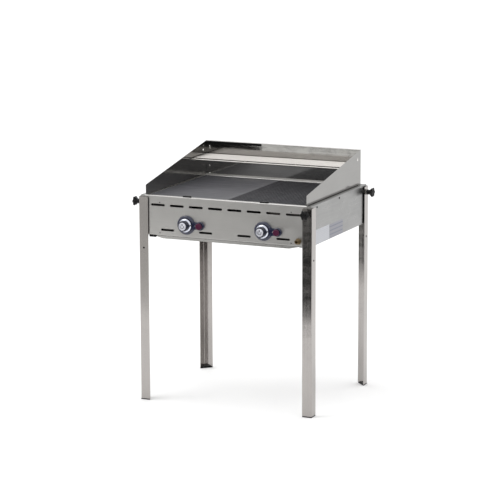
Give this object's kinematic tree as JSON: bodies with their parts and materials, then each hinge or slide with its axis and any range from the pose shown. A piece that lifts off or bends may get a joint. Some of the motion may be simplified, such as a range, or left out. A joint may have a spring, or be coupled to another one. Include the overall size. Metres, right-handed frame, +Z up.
{
  "type": "charbroiler grill",
  "caption": "Free-standing gas charbroiler: folded steel body on angle legs, griddle and bar grate, splash guard, warming rack, drip tray, push-and-turn knobs and igniter buttons.",
  "frame": {"origin": "on the floor, at the centre of the whole object's outline", "axes": "+X to the user's right, +Y from the front panel to the rear panel, +Z up"},
  "size_m": [0.8, 0.656, 0.973],
  "materials": {
    "stainless": "fine brushed stainless sheet, lightly handled",
    "heat_steel": "stainless dulled and browned by heat",
    "aluminised_pipe": "satin zinc-coated steel pipe",
    "stem_steel": "bright zinc-plated steel",
    "bright_wire": "bright nickel-chromed wire",
    "plate_iron": "seasoned cast iron, dark grey, slight oil sheen",
    "dark_bracket": "black satin painted steel",
    "black_plastic": "moulded black nylon, fine texture",
    "bezel_plastic": "blue-black moulded plastic, semi-gloss",
    "button_plastic": "dark maroon moulded plastic, semi-gloss",
    "chrome_trim": "bright chrome",
    "brass": "machined brass, slightly dulled",
    "porcelain": null
  },
  "bodies": {
    "root": {"front_panel": "stainless", "rear_panel": "stainless", "centre_bar": "stainless", "burner_rail_front": "stainless", "burner_rail_rear": "stainless", "gas_manifold": "aluminised_pipe", "gas_inlet": "brass", "side_panel_left": "stainless", "tray_runner_left": "dark_bracket", "burner_left": "heat_steel", "heat_plate_left": "heat_steel", "electrode_left": "porcelain", "bezel_left": "bezel_plastic", "valve_body_left": "brass", "igniter_body_left": "black_plastic", "side_panel_right": "stainless", "tray_runner_right": "dark_bracket", "burner_right": "heat_steel", "heat_plate_right": "heat_steel", "electrode_right": "porcelain", "bezel_right": "bezel_plastic", "valve_body_right": "brass", "igniter_body_right": "black_plastic", "leg_front_left": "stainless", "foot_front_left": "black_plastic", "leg_nut_front_left": "stem_steel", "leg_front_right": "stainless", "foot_front_right": "black_plastic", "leg_nut_front_right": "stem_steel", "leg_rear_right": "stainless", "foot_rear_right": "black_plastic", "leg_nut_rear_right": "stem_steel", "leg_rear_left": "stainless", "foot_rear_left": "black_plastic", "leg_nut_rear_left": "stem_steel"},
    "valve_plug_left": {"valve_plug_left": "brass"},
    "control_knob_left": {"valve_stem_left": "stem_steel", "control_knob_left": "bezel_plastic", "knob_cap_left": "chrome_trim"},
    "igniter_button_left": {"igniter_button_left": "button_plastic"},
    "valve_plug_right": {"valve_plug_right": "brass"},
    "control_knob_right": {"valve_stem_right": "stem_steel", "control_knob_right": "bezel_plastic", "knob_cap_right": "chrome_trim"},
    "igniter_button_right": {"igniter_button_right": "button_plastic"},
    "clamp_washer_front_left": {"clamp_washer_front_left": "stem_steel"},
    "star_knob_front_left": {"star_knob_front_left": "black_plastic"},
    "clamp_washer_front_right": {"clamp_washer_front_right": "stem_steel"},
    "star_knob_front_right": {"star_knob_front_right": "black_plastic"},
    "clamp_washer_rear_right": {"clamp_washer_rear_right": "stem_steel"},
    "star_knob_rear_right": {"star_knob_rear_right": "black_plastic"},
    "clamp_washer_rear_left": {"clamp_washer_rear_left": "stem_steel"},
    "star_knob_rear_left": {"star_knob_rear_left": "black_plastic"},
    "drip_tray": {"drip_tray": "stainless"},
    "griddle": {"griddle": "plate_iron"},
    "grate": {"grate": "plate_iron"},
    "guard": {"guard_left": "stainless", "guard_right": "stainless", "guard_rear": "stainless"},
    "warming_rack": {"warming_rack": "bright_wire"}
  },
  "joints": [
    {"name": "knob_turn_left", "type": "hinge", "parent": "root", "child": "valve_plug_left", "pos_m": [-0.165, -0.288, 0.723], "axis": [0, -1, 0], "range_deg": [0, 180]},
    {"name": "knob_push_left", "type": "slide", "parent": "valve_plug_left", "child": "control_knob_left", "axis": [0, 1, 0], "range_m": [0, 0.004], "stiffness_N_per_m": 800, "springref_m": -0.002},
    {"name": "igniter_press_left", "type": "slide", "parent": "root", "child": "igniter_button_left", "axis": [0, 1, 0], "range_m": [0, 0.005], "stiffness_N_per_m": 500, "springref_m": -0.002},
    {"name": "knob_turn_right", "type": "hinge", "parent": "root", "child": "valve_plug_right", "pos_m": [0.165, -0.288, 0.723], "axis": [0, -1, 0], "range_deg": [0, 180]},
    {"name": "knob_push_right", "type": "slide", "parent": "valve_plug_right", "child": "control_knob_right", "axis": [0, 1, 0], "range_m": [0, 0.004], "stiffness_N_per_m": 800, "springref_m": -0.002},
    {"name": "igniter_press_right", "type": "slide", "parent": "root", "child": "igniter_button_right", "axis": [0, 1, 0], "range_m": [0, 0.005], "stiffness_N_per_m": 500, "springref_m": -0.002},
    {"name": "clamp_travel_front_left", "type": "slide", "parent": "root", "child": "clamp_washer_front_left", "axis": [-1, 0, 0], "range_m": [0, 0.0041]},
    {"name": "clamp_turn_front_left", "type": "hinge", "parent": "clamp_washer_front_left", "child": "star_knob_front_left", "pos_m": [-0.37, -0.274, 0.802], "axis": [-1, 0, 0], "range_deg": [0, 1440]},
    {"name": "clamp_travel_front_right", "type": "slide", "parent": "root", "child": "clamp_washer_front_right", "axis": [0, -1, 0], "range_m": [0, 0.0041]},
    {"name": "clamp_turn_front_right", "type": "hinge", "parent": "clamp_washer_front_right", "child": "star_knob_front_right", "pos_m": [0.35, -0.294, 0.802], "axis": [0, -1, 0], "range_deg": [0, 1440]},
    {"name": "clamp_travel_rear_right", "type": "slide", "parent": "root", "child": "clamp_washer_rear_right", "axis": [1, 0, 0], "range_m": [0, 0.0041]},
    {"name": "clamp_turn_rear_right", "type": "hinge", "parent": "clamp_washer_rear_right", "child": "star_knob_rear_right", "pos_m": [0.37, 0.278, 0.802], "axis": [1, 0, 0], "range_deg": [0, 1440]},
    {"name": "clamp_travel_rear_left", "type": "slide", "parent": "root", "child": "clamp_washer_rear_left", "axis": [0, 1, 0], "range_m": [0, 0.0041]},
    {"name": "clamp_turn_rear_left", "type": "hinge", "parent": "clamp_washer_rear_left", "child": "star_knob_rear_left", "pos_m": [-0.35, 0.298, 0.802], "axis": [0, 1, 0], "range_deg": [0, 1440]},
    {"name": "tray_slide", "type": "slide", "parent": "root", "child": "drip_tray", "axis": [0, -1, 0], "range_m": [0, 0.45]},
    {"name": "griddle_lift", "type": "slide", "parent": "root", "child": "griddle", "axis": [0, 0, 1], "range_m": [0, 0.07]},
    {"name": "grate_lift", "type": "slide", "parent": "root", "child": "grate", "axis": [0, 0, 1], "range_m": [0, 0.07]},
    {"name": "guard_lift", "type": "slide", "parent": "root", "child": "guard", "axis": [0, 0, 1], "range_m": [0, 0.25]},
    {"name": "rack_lift", "type": "slide", "parent": "guard", "child": "warming_rack", "axis": [0, 0, 1], "range_m": [0, 0.12]}
  ],
  "couplings": [
    {"joint": "clamp_travel_front_left", "follows": "clamp_turn_front_left", "m_per_rad": 0.00015915},
    {"joint": "clamp_travel_front_right", "follows": "clamp_turn_front_right", "m_per_rad": 0.00015915},
    {"joint": "clamp_travel_rear_right", "follows": "clamp_turn_rear_right", "m_per_rad": 0.00015915},
    {"joint": "clamp_travel_rear_left", "follows": "clamp_turn_rear_left", "m_per_rad": 0.00015915}
  ]
}
